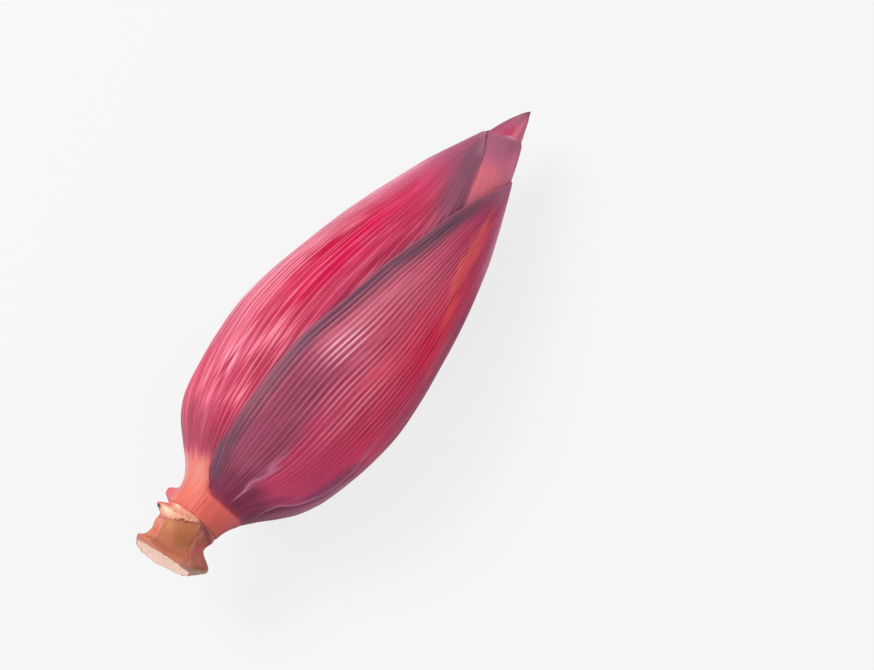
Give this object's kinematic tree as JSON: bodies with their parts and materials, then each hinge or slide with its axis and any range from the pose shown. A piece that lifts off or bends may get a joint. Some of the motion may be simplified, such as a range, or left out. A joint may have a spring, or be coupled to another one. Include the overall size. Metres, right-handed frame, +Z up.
{
  "type": "banana blossom",
  "caption": "Banana blossom cut from the plant with a stub of its stem: a pointed, heart-shaped bud of overlapping leathery bracts, lying on its belly.",
  "frame": {"origin": "on the surface that the blossom lies on, below the middle of its bounding box", "axes": "+X along the blossom from the cut stem to the apex, +Z up, +Y to its left seen from the stem"},
  "size_m": [0.2918, 0.0991, 0.1001],
  "materials": {
    "stem": "dull, fleshy, with dried brown scars",
    "inner_bud": "satin, waxy",
    "bract_outer": "satin, waxy, finely ribbed",
    "bract_second": "satin, waxy, finely ribbed",
    "bract_third": "satin, waxy, finely ribbed",
    "bract_fourth": "satin, waxy, finely ribbed"
  },
  "bodies": {
    "root": {"stem": "stem", "inner_bud": "inner_bud", "bract_outer": "bract_outer", "bract_second": "bract_second", "bract_third": "bract_third", "bract_fourth": "bract_fourth"}
  },
  "joints": []
}
